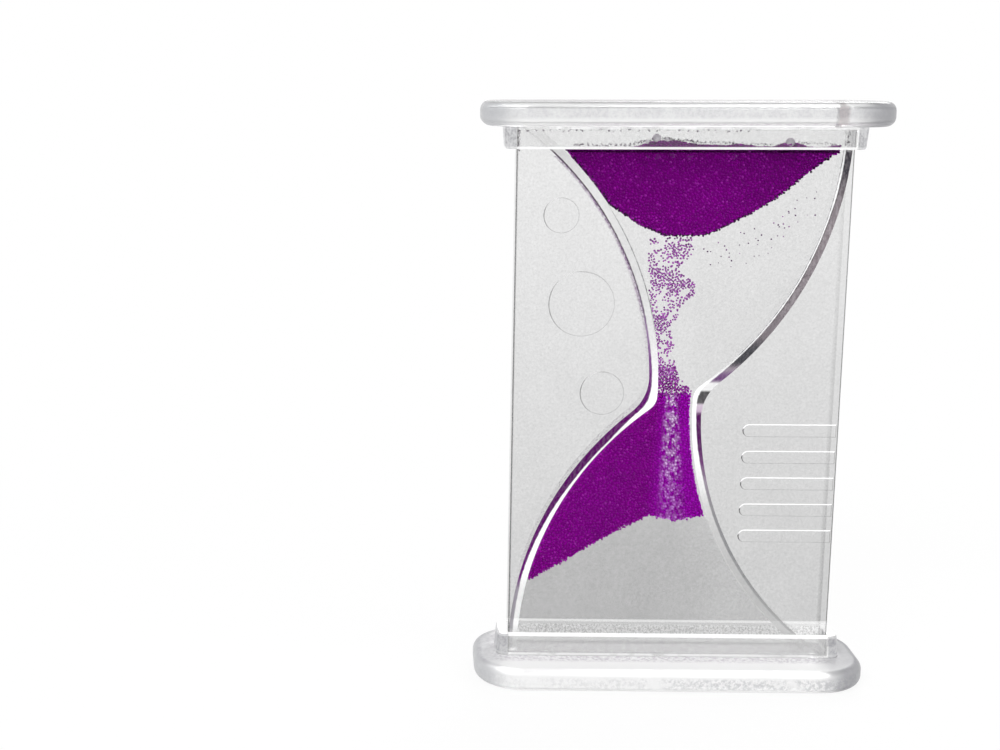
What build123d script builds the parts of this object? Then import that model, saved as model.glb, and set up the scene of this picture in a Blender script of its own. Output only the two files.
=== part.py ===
from build123d import *
import os
from math import asin, atan2, cos, degrees, hypot, sin, sqrt

# Liquid motion timer: a flat clear body stands between two equal end caps and holds a sealed chamber.
# Two S shaped walls narrow the chamber to a neck half way up. Beads lighter than the liquid rise through
# the neck one by one and heap up under the top cap, until the timer is turned over.
# Millimetres. The origin is the middle of the underside, +Z up, +X to the right of a viewer at -Y.

# Body
overall_height = 143.5
body_width = 80.0
panel_thickness = 1.5
panel_edge_radius = 0.7
chamber_depth = 5.0

# End caps: a rounded foot plate with a drafted collar that takes the end of the body
flange_thickness = 5.8
flange_end_overhang = 5.4
flange_side_overhang = 10.2
flange_corner_radius = 12.0
flange_edge_radius = 2.2
collar_height = 5.5
collar_end_wall = 3.0
collar_side_wall = 1.7
collar_draft = 0.5
collar_corner_radius = 2.6
collar_lip_radius = 0.5
socket_clearance = 0.1

# Channel walls: a long upper sweep, a bend at the neck and a long lower sweep
wall_thickness = 2.2
neck_width = 8.6
neck_rise = 3.5
neck_corner_drop = 1.8
channel_bend_radius = 4.0
pocket_bend_radius = 11.0
lower_edge_inset = 0.1
upper_end_inset = 4.5

# Raised decoration on the front panel: three discs at the upper left, five bars at the lower right
relief_height = 0.4
relief_edge_radius = 0.36
small_disc_radius = 4.3
large_disc_radius = 8.0
middle_disc_radius = 5.4
disc_place_shares = ((-0.726, 0.678), (-0.592, 0.354), (-0.454, 0.020))
bar_count = 5
bar_height = 3.2
bar_pitch = 6.71
bar_length = 22.8
first_bar_drop = 7.85

# Filling port in the top cap, closed by a stepped plug
port_inset = 3.4
port_radius = 1.8
port_seat_radius = 1.0
port_seat_thickness = 1.8
plug_clearance = 0.03
plug_recess = 0.3

# Liquid, with air above it, and the gap that it keeps from what holds it
air_height = 4.9
fluid_gap = 0.15

# Heaps of beads: heights of their free undersides, as shares of half the body width and half the chamber
heap_crown = 1.2
upper_heap_shares = (
    (-1.0, 0.95),
    (-0.70, 0.906),
    (-0.48, 0.732),
    (-0.24, 0.637),
    (-0.09, 0.601),
    (0.134, 0.600),
    (0.216, 0.620),
    (0.415, 0.680),
    (0.577, 0.742),
    (0.736, 0.824),
    (0.879, 0.889),
    (1.0, 0.905),
)
lower_heap_shares = (
    (-1.0, -0.770),
    (-0.884, -0.731),
    (-0.698, -0.662),
    (-0.538, -0.598),
    (-0.329, -0.522),
    (-0.133, -0.462),
    (0.030, -0.484),
    (0.189, -0.460),
    (0.247, -0.481),
    (0.5, -0.58),
)
lower_heap_top_rise = 0.7

# Single beads: the stream that rises from the neck, and a few that drift under the upper heap
bead_diameter = 0.9
bead_clearance = 0.3
row_pitch = 1.18
bead_pitch = 1.15
beads_per_row = 3
stream_lane = 1.2
stream_left = 6.8
stream_right = 4.8
row_shift = 0.5
row_shift_share = 0.618
rise_travel = 6.0
drift_travel = 1.2
drifting_bead_shares = (
    (0.340, 0.552),
    (0.377, 0.620),
    (0.434, 0.590),
    (0.490, 0.642),
    (0.581, 0.584),
    (0.576, 0.690),
    (0.614, 0.625),
    (0.655, 0.677),
    (0.649, 0.560),
    (0.711, 0.626),
    (0.730, 0.750),
    (0.830, 0.790),
)

# Overrun of every cutting solid past the face that it cuts
overrun = 1.0

# Sizes that follow from those above
half_turn = 180.0
bead_radius = bead_diameter / 2
body_depth = chamber_depth + 2 * panel_thickness
half_width = body_width / 2
half_chamber = chamber_depth / 2
half_body = body_depth / 2
middle_height = overall_height / 2
floor_low = flange_thickness
floor_high = overall_height - flange_thickness
chamber_height = floor_high - floor_low
half_height = chamber_height / 2
collar_length = body_width + 2 * (socket_clearance + collar_end_wall)
collar_depth = body_depth + 2 * (socket_clearance + collar_side_wall)
flange_length = collar_length + 2 * flange_end_overhang
flange_depth = collar_depth + 2 * flange_side_overhang
liquid_level = floor_high - air_height
lower_heap_top = middle_height + lower_heap_top_rise


def upright_radius(reach, rise):
    """Radius of an arc that is upright at one end and has moved sideways by reach after this rise."""
    return (reach**2 + rise**2) / (2 * reach)


# Line of the left wall's channel face: the upper sweep is upright just above the neck, and the lower
# sweep is upright where it meets the lower cap
neck_half = neck_width / 2
neck_height = middle_height + neck_rise
corner_height = middle_height - neck_corner_drop
upper_radius = upright_radius(half_width - upper_end_inset - neck_half, floor_high - neck_height)
upper_centre = (-neck_half - upper_radius, neck_height)
corner_x = upper_centre[0] + sqrt(upper_radius**2 - (corner_height - neck_height) ** 2)
lower_end_x = lower_edge_inset + wall_thickness - half_width
lower_radius = upright_radius(corner_x - lower_end_x, corner_height - floor_low)
lower_centre = (lower_end_x + lower_radius, floor_low)


def arc_about(centre, radius, start, end):
    """Arc about a centre from one angle to another, in degrees."""
    return Edge.make_circle(
        radius,
        Plane(origin=(centre[0], centre[1], 0)),
        min(start, end),
        max(start, end),
    )


def angle_to(start, end):
    return degrees(atan2(end[1] - start[1], end[0] - start[0]))


def bend_centre(upper, lower, bend):
    """Centre of the bend arc that touches the upper sweep from inside and the lower sweep from outside."""
    from_upper = upper - bend
    from_lower = lower + bend
    across = lower_centre[0] - upper_centre[0]
    down = lower_centre[1] - upper_centre[1]
    apart = hypot(across, down)
    along = (from_upper**2 - from_lower**2 + apart**2) / (2 * apart)
    aside = sqrt(from_upper**2 - along**2)
    return (
        upper_centre[0] + (along * across - aside * down) / apart,
        upper_centre[1] + (along * down + aside * across) / apart,
    )


def wall_line(offset, bend):
    """The three arcs of a wall face that lies offset outside the channel face, and its two end points."""
    upper = upper_radius - offset
    lower = lower_radius + offset
    centre = bend_centre(upper, lower, bend)
    top_angle = degrees(asin((floor_high - neck_height) / upper))
    upper_touch = angle_to(upper_centre, centre)
    lower_touch = angle_to(centre, lower_centre)
    arcs = [
        arc_about(upper_centre, upper, upper_touch, top_angle),
        arc_about(centre, bend, lower_touch, upper_touch),
        arc_about(lower_centre, lower, lower_touch + half_turn, half_turn),
    ]
    top_x = upper_centre[0] + sqrt(upper**2 - (floor_high - neck_height) ** 2)
    return arcs, (top_x, floor_high), (lower_centre[0] - lower, floor_low)


def line(start, end):
    return Edge.make_line((start[0], start[1], 0), (end[0], end[1], 0))


def turned(shape):
    """The same shape turned half a turn about the middle of the body, in the outline's own plane."""
    return Pos(0, middle_height, 0) * Rot(0, 0, half_turn) * Pos(0, -middle_height, 0) * shape


def slab(face, near, far):
    """Solid between two depths from a face drawn with x across and y up."""
    return extrude(Plane.XZ.offset(-far) * face, amount=far - near, dir=Plane.XZ.z_dir)


def placed(face, x, z):
    return Pos(x, z, 0) * face


def wall_face():
    channel, channel_top, channel_foot = wall_line(0, channel_bend_radius)
    pocket, pocket_top, pocket_foot = wall_line(wall_thickness, pocket_bend_radius)
    ends = [line(channel_top, pocket_top), line(channel_foot, pocket_foot)]
    return Face(Wire(channel + pocket + ends))


def chamber_face():
    """Outline of the chamber, less the gap that liquid and beads keep from the walls."""
    arcs, top, foot = wall_line(-fluid_gap, channel_bend_radius + fluid_gap)
    middle_top = (0, floor_high)
    middle_foot = (0, floor_low)
    rest = [line(top, middle_top), line(middle_top, middle_foot), line(foot, middle_foot)]
    left = Face(Wire(arcs + rest))
    return left + turned(left)


def at_shares(place, lift):
    """Point given as shares of half the body width and half the chamber height, moved up by lift."""
    return place[0] * half_width, middle_height + place[1] * half_height + lift


def surface_points(shares, lift):
    """Points of a heap's free underside, moved by lift."""
    return [at_shares(place, lift) for place in shares]


def between(surface, height):
    """Face between a heap's underside and a level line."""
    outline = surface + [(surface[-1][0], height), (surface[0][0], height)]
    return Face(Wire([line(outline[i - 1], outline[i]) for i in range(len(outline))]))


def level_band(low, high):
    return placed(Rectangle(body_width, high - low), 0, (low + high) / 2)


# Solids of the body
def panel(near, far):
    blank = placed(Rectangle(body_width, chamber_height), 0, middle_height)
    return slab(blank, near, far)


def back_panel():
    plate = panel(half_chamber, half_body)
    corners = plate.edges().filter_by(Axis.Z).group_by(Axis.Y)[-1]
    return fillet(corners, panel_edge_radius)


def raised(face):
    """A raised figure that stands on the front panel, with its front edge rounded."""
    figure = slab(face, -half_body - relief_height, -half_body + panel_thickness / 2)
    rim = figure.edges().group_by(Axis.Y)[0]
    return fillet(rim, relief_edge_radius)


def discs():
    radii = (small_disc_radius, large_disc_radius, middle_disc_radius)
    centres = surface_points(disc_place_shares, 0)
    return [raised(placed(Circle(radius), x, z)) for radius, (x, z) in zip(radii, centres)]


def bars():
    right = half_width - panel_edge_radius
    end_radius = bar_height / 2
    straight = bar_length - end_radius
    shape = placed(Rectangle(straight, bar_height), right - straight / 2, 0)
    shape += placed(Circle(end_radius), right - straight, 0)
    first = middle_height - first_bar_drop
    return [raised(placed(shape, 0, first - bar_pitch * i)) for i in range(bar_count)]


def front_panel():
    plate = panel(-half_body, -half_chamber)
    corners = plate.edges().filter_by(Axis.Z).group_by(Axis.Y)[0]
    plate = fillet(corners, panel_edge_radius)
    for figure in discs() + bars():
        plate += figure
    return plate


# Solids of the end caps
def bottom_end_cap():
    foot = extrude(RectangleRounded(flange_length, flange_depth, flange_corner_radius), flange_thickness)
    levels = foot.edges().group_by(Axis.Z)
    foot = fillet(levels[0] + levels[-1], flange_edge_radius)
    root = Pos(0, 0, floor_low) * RectangleRounded(collar_length, collar_depth, collar_corner_radius)
    rim = Pos(0, 0, floor_low + collar_height) * RectangleRounded(
        collar_length - 2 * collar_draft,
        collar_depth - 2 * collar_draft,
        collar_corner_radius - collar_draft,
    )
    collar = loft([root.face(), rim.face()])
    collar = fillet(collar.edges().group_by(Axis.Z)[-1], collar_lip_radius)
    socket = Box(
        body_width + 2 * socket_clearance,
        body_depth + 2 * socket_clearance,
        collar_height + overrun,
        align=(Align.CENTER, Align.CENTER, Align.MIN),
    )
    return foot + (collar - Pos(0, 0, floor_low) * socket)


def plug_shape(head_radius, stem_radius, top):
    """Stepped round shape that fills the port up to the given height."""
    base = (Align.CENTER, Align.CENTER, Align.MIN)
    seat = floor_high + port_seat_thickness
    head = Pos(0, 0, seat) * Cylinder(head_radius, top - seat, align=base)
    stem = Pos(0, 0, floor_high) * Cylinder(stem_radius, port_seat_thickness, align=base)
    return Pos(half_width - port_inset, 0, 0) * (head + stem)


def top_end_cap():
    middle = Pos(0, 0, middle_height)
    cap = middle * Rot(0, half_turn, 0) * Pos(0, 0, -middle_height) * bottom_end_cap()
    port = plug_shape(port_radius, port_seat_radius, overall_height + overrun)
    return cap - port


def fill_plug():
    top = overall_height - plug_recess
    return plug_shape(port_radius - plug_clearance, port_seat_radius - plug_clearance, top)


# Beads and liquid
def upper_heap_face(lift):
    return chamber_face() & between(surface_points(upper_heap_shares, lift), liquid_level + heap_crown - lift)


def lower_heap_face(lift):
    return chamber_face() & between(surface_points(lower_heap_shares, lift), lower_heap_top - lift)


def stream_left_edge(height):
    """Left edge of the rising stream, which keeps to the left wall until it stands clear of it."""
    above_neck = max(height - neck_height, 0)
    wall_x = upper_centre[0] + sqrt(upper_radius**2 - above_neck**2)
    return max(wall_x, -stream_left) + bead_clearance + bead_radius


def stream_places():
    """Centres of the rising beads, in rows that leave them room to rise under the upper heap."""
    apex = min(point[1] for point in surface_points(upper_heap_shares, 0))
    low = lower_heap_top + fluid_gap + bead_clearance + bead_radius
    high = apex - fluid_gap - bead_clearance - bead_radius - rise_travel
    places = []
    for row in range(int((high - low) / row_pitch) + 1):
        height = low + row * row_pitch
        shift = row_shift * (row * row_shift_share % 1)
        for i in range(beads_per_row):
            lane = stream_lane if (row + i) % 2 else -stream_lane
            places.append((stream_left_edge(height) + shift + i * bead_pitch, lane, height))
    return places


def drifting_places():
    centres = surface_points(drifting_bead_shares, 0)
    return [(x, 0, z) for x, z in centres]


def beads(places):
    return Compound(children=[Pos(*place) * Sphere(bead_radius) for place in places])


def drift_slot(place):
    """Room in the liquid for one drifting bead and its way up."""
    room = bead_radius + bead_clearance
    shape = placed(Rectangle(2 * room, drift_travel), place[0], place[2] + drift_travel / 2)
    shape += placed(Circle(room), place[0], place[2])
    return shape + placed(Circle(room), place[0], place[2] + drift_travel)


def liquid_face():
    liquid = chamber_face() & level_band(floor_low + fluid_gap, liquid_level)
    liquid -= between(surface_points(upper_heap_shares, -fluid_gap), overall_height)
    liquid -= lower_heap_face(-fluid_gap)
    column_left = -stream_left - bead_clearance
    column = Rectangle(stream_right - column_left, half_height)
    column_x = (stream_right + column_left) / 2
    liquid -= placed(column, column_x, lower_heap_top + fluid_gap + half_height / 2)
    for place in drifting_places():
        liquid -= drift_slot(place)
    return liquid


def fluid_slab(face):
    return slab(face, fluid_gap - half_chamber, half_chamber - fluid_gap)


def channel_wall(face):
    return slab(face, -half_chamber, half_chamber)


def write(node, shape):
    shape.label = node
    export_step(shape, f"parts/{node}.step")


os.makedirs("parts", exist_ok=True)
write("front_panel", front_panel())
write("back_panel", back_panel())
write("left_channel_wall", channel_wall(wall_face()))
write("right_channel_wall", channel_wall(turned(wall_face())))
write("bottom_end_cap", bottom_end_cap())
write("top_end_cap", top_end_cap())
write("fill_plug", fill_plug())
write("carrier_liquid", fluid_slab(liquid_face()))
write("upper_bead_heap", fluid_slab(upper_heap_face(0)))
write("lower_bead_heap", fluid_slab(lower_heap_face(0)))
write("rising_beads", beads(stream_places()))
write("drifting_beads", beads(drifting_places()))
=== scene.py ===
import math

import bmesh
import bpy
from bpy.props import FloatProperty, FloatVectorProperty, IntProperty, PointerProperty
from mathutils import Matrix, Vector


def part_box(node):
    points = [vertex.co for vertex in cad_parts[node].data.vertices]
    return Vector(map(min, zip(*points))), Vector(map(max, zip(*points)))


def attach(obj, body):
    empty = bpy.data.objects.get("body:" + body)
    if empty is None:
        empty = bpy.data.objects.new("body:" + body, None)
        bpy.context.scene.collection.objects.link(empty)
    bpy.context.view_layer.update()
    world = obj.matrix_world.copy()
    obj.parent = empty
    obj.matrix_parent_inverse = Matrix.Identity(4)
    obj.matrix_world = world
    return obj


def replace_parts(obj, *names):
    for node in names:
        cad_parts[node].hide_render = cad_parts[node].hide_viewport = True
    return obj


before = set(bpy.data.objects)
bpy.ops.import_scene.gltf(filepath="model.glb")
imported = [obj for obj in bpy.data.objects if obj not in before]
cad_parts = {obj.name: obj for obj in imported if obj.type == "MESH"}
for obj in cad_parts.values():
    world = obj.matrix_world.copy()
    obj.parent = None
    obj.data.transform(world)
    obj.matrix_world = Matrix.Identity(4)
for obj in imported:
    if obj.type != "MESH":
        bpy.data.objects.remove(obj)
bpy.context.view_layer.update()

bl_info = {
    "name": "Liquid Motion Timer",
    "version": (1, 0, 0),
    "blender": (4, 5, 0),
    "location": "View3D > Sidebar > Timer",
    "description": "Dresses a two-chamber bead timer: clear plastic, packed beads, stream and bubbles",
    "category": "Add Mesh",
}

MM = 0.001
WELD = 0.01 * MM
WHITE = (1.0, 1.0, 1.0)
BLACK = (0.0, 0.0, 0.0)
BODY = "timer_body"
STREAM_BODY = "bead_stream"
LOOSE_BODY = "loose_beads"

# Places inside the chamber, read from the frame
CHAMBER_LOW, CHAMBER_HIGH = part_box("left_channel_wall")
HALF_WIDTH = -CHAMBER_LOW.x
NECK_HEIGHT = (CHAMBER_LOW.z + CHAMBER_HIGH.z) / 2
SLAB_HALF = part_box("carrier_liquid")[1].y
LIQUID_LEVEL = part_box("top_end_cap")[0].z + 0.6 * MM
HEAP_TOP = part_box("lower_bead_heap")[1].z
WALLS = {"left_channel_wall": -1, "right_channel_wall": 1}
# Sloping plane, in y and z, under which the bright rear of the lower collar lies behind the body
SIGHT_SLOPE = 0.363
SIGHT_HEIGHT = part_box("bottom_end_cap")[1].z + 2.1 * MM
SIGHT_BLUR = 0.15 * MM


def share_property(name, description, default):
    return FloatProperty(
        name=name, description=description, subtype="FACTOR", min=0, max=1, default=default)


def length_property(name, description, least, default):
    return FloatProperty(
        name=name, description=description, unit="LENGTH", min=least * MM, default=default * MM)


def colour_property(name, description, default):
    return FloatVectorProperty(
        name=name, description=description, subtype="COLOR", size=3, min=0, max=1, default=default)


class TimerPlastic(bpy.types.PropertyGroup):
    """Look of the clear moulded parts"""

    panel_haze: share_property("Panel Haze", "Share of what lies behind that one panel veils", 0.05)
    # Painted shade: this share darkens a panel toward its right side
    side_shade: share_property("Side Haze", "Extra share that a panel veils at its right side", 0.008)
    # Painted shade: this share is how far the liquid in the lower chamber darkens what lies behind
    liquid_shade: share_property("Liquid Haze", "Share that a face of the deep liquid veils", 0.13)
    grain: length_property("Mould Grain", "Size of the fine grain on the panels", 0.1, 0.55)


class TimerBeads(bpy.types.PropertyGroup):
    """Size, number and colour of the beads"""

    diameter: length_property("Bead Diameter", "Diameter of one bead", 0.3, 0.62)
    spacing: length_property("Bead Spacing", "Least distance between packed beads", 0.3, 0.55)
    colour: colour_property("Bead Colour", "Colour of the packed beads", (0.29, 0.0, 0.32))
    # Painted light: single beads get a lighter copy of the bead colour
    lit_bead_colour: colour_property(
        "Single Bead Colour", "Colour of beads that light passes round", (0.42, 0.13, 0.48))
    seed: IntProperty(name="Seed", description="Chooses the scatter of the beads", default=4)


class TimerStage(bpy.types.PropertyGroup):
    """Camera and light"""

    lens: FloatProperty(
        name="Lens", description="Focal length on a 36 mm sensor, in millimetres",
        min=10, default=55.69)
    daylight: FloatProperty(
        name="Room Light", description="Strength of the even light of the room",
        min=0, default=0.62)
    lamp_power: FloatProperty(
        name="Lamp Power", description="Power of the key lamp", subtype="POWER", min=0, default=5.0)


def wire_maths(operation, turned=False):
    """Method that adds a Math node; turned puts the wire behind the other value."""
    def method(wire, *others):
        values = (*others, wire) if turned else (wire, *others)
        return wire.net.maths(operation, *values)
    return method


class Wire:
    """One output of a node tree; sums, products and powers of wires add Math nodes."""

    def __init__(self, net, socket):
        self.net = net
        self.socket = socket

    __add__ = __radd__ = wire_maths("ADD")
    __sub__ = wire_maths("SUBTRACT")
    __rsub__ = wire_maths("SUBTRACT", turned=True)
    __mul__ = __rmul__ = wire_maths("MULTIPLY")
    __truediv__ = wire_maths("DIVIDE")
    __rtruediv__ = wire_maths("DIVIDE", turned=True)
    __pow__ = wire_maths("POWER")
    __abs__ = wire_maths("ABSOLUTE")


class Net:
    """A node tree in the making, for a material, the world or a modifier."""

    def __init__(self, tree):
        self.tree = tree

    def node(self, kind, settings=None, sockets=None, output=0):
        """Add one node: its settings first, then its sockets. Returns one output as a wire."""
        made = self.tree.nodes.new(kind)
        for name, value in (settings or {}).items():
            if name == "stops":
                for _ in value[2:]:
                    made.color_ramp.elements.new(0.5)
                for element, (place, colour) in zip(made.color_ramp.elements, value):
                    element.position = place
                    element.color = (*colour, 1.0)
            else:
                setattr(made, name, value)
        for name, value in (sockets or {}).items():
            self.plug(made.inputs[name], value)
        return Wire(self, made.outputs[output])

    def plug(self, socket, value):
        """Link a wire to a socket, or set the socket's own value."""
        if isinstance(value, Wire):
            self.tree.links.new(value.socket, socket)
        elif hasattr(socket.default_value, "__len__") and len(value) < len(socket.default_value):
            socket.default_value = (*value, 1.0)
        else:
            socket.default_value = value

    def maths(self, operation, *values):
        return self.node("ShaderNodeMath", {"operation": operation}, dict(enumerate(values)))

    def most(self, first, second):
        return self.maths("MAXIMUM", first, second)

    def clamp(self, value):
        return self.node("ShaderNodeClamp", sockets={"Value": value})

    def rays(self, *kinds):
        """1 for a ray of one of the given kinds, such as Camera or Glossy, else 0."""
        outputs = self.node("ShaderNodeLightPath").socket.node.outputs
        found = 0.0
        for kind in kinds:
            found = self.most(found, Wire(self, outputs[f"Is {kind} Ray"]))
        return found

    def step(self, value, low, high):
        """Smooth rise from 0 to 1 while the value goes from low to high."""
        return self.node(
            "ShaderNodeMapRange", {"interpolation_type": "SMOOTHSTEP"},
            {"Value": value, "From Min": low, "From Max": high})

    def band(self, value, low, high, blur):
        """1 between low and high, with edges that fade over blur."""
        return self.step(value, low, low + blur) * (1 - self.step(value, high - blur, high))

    def mix(self, factor, first, second):
        """Colour that goes from the first to the second."""
        return self.node(
            "ShaderNodeMix", {"data_type": "RGBA"}, {0: factor, 6: first, 7: second}, output=2)

    def split(self, vector):
        """The x, y and z of a vector."""
        made = self.node("ShaderNodeSeparateXYZ", sockets={0: vector}).socket.node
        return [Wire(self, output) for output in made.outputs]

    def place(self):
        """Object coordinates, as a vector and as its x, y and z."""
        vector = self.node("ShaderNodeTexCoord", output=3)
        return vector, self.split(vector)

    def facing(self):
        """Object-space normal, as its x, y and z."""
        return self.split(self.node("ShaderNodeTexCoord", output=1))

    def outside(self):
        """1 on faces seen from outside, 0 on their backs."""
        return 1 - self.node("ShaderNodeNewGeometry", output=6)

    def attribute(self, name):
        """Number that the mesh holds under a name."""
        return self.node("ShaderNodeAttribute", {"attribute_name": name}, output=2)

    def stretch(self, vector, factors):
        """Vector with its x, y and z multiplied by three factors."""
        return self.node("ShaderNodeVectorMath", {"operation": "MULTIPLY"}, {0: vector, 1: factors})

    def scale(self, vector, factor):
        """Vector or colour multiplied by a number."""
        return self.node("ShaderNodeVectorMath", {"operation": "SCALE"}, {0: vector, "Scale": factor})

    def ramp(self, value, stops):
        """Colour read off a list of places and colours."""
        return self.node("ShaderNodeValToRGB", {"stops": stops}, {0: value})

    def noise(self, vector, size, detail=2.0, roughness=0.5):
        """Noise whose features are about the given size."""
        return self.node(
            "ShaderNodeTexNoise", sockets={
                "Vector": vector, "Scale": 1 / size, "Detail": detail, "Roughness": roughness})

    def graze(self, blend=0.5):
        """0 where the surface faces the eye, 1 where it is seen edge on."""
        return self.node("ShaderNodeLayerWeight", sockets={"Blend": blend}, output=1)


class Finish(Net):
    """A material around one Principled shader."""

    def __init__(self, name, **constants):
        self.material = bpy.data.materials.new(name)
        self.material.use_nodes = True
        super().__init__(self.material.node_tree)
        self.shader = next(node for node in self.tree.nodes if node.type == "BSDF_PRINCIPLED")
        for socket, value in constants.items():
            self.plug(self.shader.inputs[socket.replace("_", " ")], value)

    def feed(self, socket, value):
        self.plug(self.shader.inputs[socket], value)

    def cover(self, factor, **constants):
        """Lay a second Principled shader over the first by a factor; returns its sockets."""
        over = self.tree.nodes.new("ShaderNodeBsdfPrincipled")
        for socket, value in constants.items():
            self.plug(over.inputs[socket.replace("_", " ")], value)
        blend = self.node("ShaderNodeMixShader", sockets={
            0: factor, 1: Wire(self, self.shader.outputs[0]), 2: Wire(self, over.outputs[0])})
        output = next(node for node in self.tree.nodes if node.type == "OUTPUT_MATERIAL")
        self.plug(output.inputs["Surface"], blend)
        return over.inputs

    def bump(self, height, distance, strength):
        self.feed("Normal", self.node(
            "ShaderNodeBump", sockets={"Height": height, "Distance": distance, "Strength": strength}))

    def above_collar(self, y, z):
        """0 where the lower collar's rear lies behind the body, 1 above it."""
        return self.step(z + SIGHT_SLOPE * y, SIGHT_HEIGHT, SIGHT_HEIGHT + SIGHT_BLUR)


def dress(name, finish):
    """Give a CAD node its material."""
    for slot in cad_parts[name].material_slots:
        slot.material = finish.material


def plain_mesh(name, work):
    mesh = bpy.data.meshes.new(name)
    work.to_mesh(mesh)
    work.free()
    return mesh


def add_piece(name, mesh, body):
    """Link a mesh as an object, which rides on a body if one is given."""
    piece = bpy.data.objects.new(name, mesh)
    bpy.context.scene.collection.objects.link(piece)
    if body:
        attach(piece, body)
    return piece


def new_piece(name, work, finish, body=BODY):
    """Turn a bmesh into a piece that rides on a body."""
    mesh = plain_mesh(name, work)
    mesh.materials.append(finish.material)
    return add_piece(name, mesh, body)


def node_outlines(name):
    """Outlines of a node that runs straight along Y, each anticlockwise, as points (x, z)."""
    work = bmesh.new()
    work.from_mesh(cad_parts[name].data)
    bmesh.ops.remove_doubles(work, verts=work.verts, dist=WELD)
    front_y = min(vert.co.y for vert in work.verts)
    front = {face for face in work.faces if all(vert.co.y < front_y + WELD for vert in face.verts)}
    rim = [edge for edge in work.edges if sum(face in front for face in edge.link_faces) == 1]
    outlines = []
    left = set(rim)
    for start in rim:
        here = start.verts[0]
        points = []
        edge = start if start in left else None
        while edge:
            left.remove(edge)
            points.append(Vector((here.co.x, here.co.z)))
            here = edge.other_vert(here)
            edge = next((edge for edge in here.link_edges if edge in left), None)
        if points:
            outlines.append(points if area_of(points) > 0 else points[::-1])
    work.free()
    return outlines


def node_outline(name):
    """The first outline of a node, which is the only one of most nodes."""
    return node_outlines(name)[0]


def area_of(points):
    """Area inside an outline, below 0 where it runs clockwise."""
    return sum(a.cross(b) for a, b in zip(points, points[1:] + points[:1])) / 2


def inset(points, distance, longest=3.0):
    """Move an anticlockwise outline inwards by a distance and leave out what would fold over."""
    moved = []
    for before, here, after in zip(points[-1:] + points[:-1], points, points[1:] + points[:1]):
        first = (here - before).normalized().orthogonal()
        second = (after - here).normalized().orthogonal()
        middle = (first + second).normalized()
        moved.append(here + middle * distance / max(middle.dot(first), 1 / longest))
    return [point for point in moved if distance_to(point, points) > 0.9 * distance]


def weave(work, rows):
    """Faces between neighbouring rows of corners."""
    for row, after in zip(rows, rows[1:]):
        for corners in zip(row, row[1:], after[1:], after):
            work.faces.new(corners)


def prism(points, half_depth):
    """Closed bmesh between an outline's copies at -half_depth and +half_depth."""
    work = bmesh.new()
    front = [work.verts.new((point.x, -half_depth, point.y)) for point in points]
    back = [work.verts.new((point.x, half_depth, point.y)) for point in points]
    work.faces.new(front)
    work.faces.new(back[::-1])
    for index in range(len(points)):
        work.faces.new((front[index - 1], back[index - 1], back[index], front[index]))
    bmesh.ops.recalc_face_normals(work, faces=work.faces)
    bmesh.ops.triangulate(work, faces=work.faces)
    return work


def ribbon(points, half_depth):
    """Open strip along a line of points, as deep as the slab that it edges."""
    work = bmesh.new()
    pairs = [(work.verts.new((point.x, -half_depth, point.y)),
              work.verts.new((point.x, half_depth, point.y))) for point in points]
    weave(work, list(zip(*pairs)))
    return work


def wall_lines(name):
    """The left and the right line of a wall, both from the top down, as points (x, z)."""
    points = node_outline(name)
    high = max(point.y for point in points) - WELD
    low = min(point.y for point in points) + WELD
    start = min((i for i, point in enumerate(points) if point.y > high), key=lambda i: points[i].x)
    points = points[start:] + points[:start]
    feet = [i for i, point in enumerate(points) if point.y < low]
    left_foot = min(feet, key=lambda i: points[i].x)
    right_foot = max(feet, key=lambda i: points[i].x)
    return points[:left_foot + 1], points[right_foot:][::-1]


def open_line(points, least_gap):
    """Points of an outline that was cut, in order from just after its gap."""
    start = next(i for i, point in enumerate(points) if (point - points[i - 1]).length > least_gap)
    return points[start:] + points[:start]


def even_points(line, count):
    """Points at equal steps along a line."""
    reach = [0.0]
    for start, end in zip(line, line[1:]):
        reach.append(reach[-1] + (end - start).length)
    points = []
    for step in range(count):
        goal = reach[-1] * step / (count - 1)
        index = max(i for i in range(len(line) - 1) if reach[i] <= goal or i == 0)
        share = (goal - reach[index]) / (reach[index + 1] - reach[index])
        points.append(line[index].lerp(line[index + 1], min(1, share)))
    return points


def strip(first, second, low_y, high_y, cells=4):
    """Slab between two lines; the layer "across" goes from 0 at the first line to 1 at the second."""
    work = bmesh.new()
    across = work.verts.layers.float.new("across")
    sides = []
    for depth in (low_y, high_y):
        rows = []
        for start, end in zip(first, second):
            row = []
            for step in range(cells + 1):
                point = start.lerp(end, step / cells)
                vert = work.verts.new((point.x, depth, point.y))
                vert[across] = step / cells
                row.append(vert)
            rows.append(row)
        weave(work, rows)
        sides.append(rows)
    for end in (0, -1):
        weave(work, [rows[end] for rows in sides])
        weave(work, [[row[end] for row in rows] for rows in sides])
    bmesh.ops.recalc_face_normals(work, faces=work.faces)
    return work


def distance_to(point, outline):
    """Distance from a point to a closed outline."""
    nearest = math.inf
    for start, end in zip(outline, outline[1:] + outline[:1]):
        along = end - start
        share = max(0, min(1, (point - start).dot(along) / max(along.length_squared, 1e-18)))
        nearest = min(nearest, (point - start - along * share).length)
    return nearest


# Scattered beads: the most for each square metre of surface, and the weight of the layer "fill"
MOST_BEADS = 3.0e7
FILL_WEIGHT = 0.25


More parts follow.
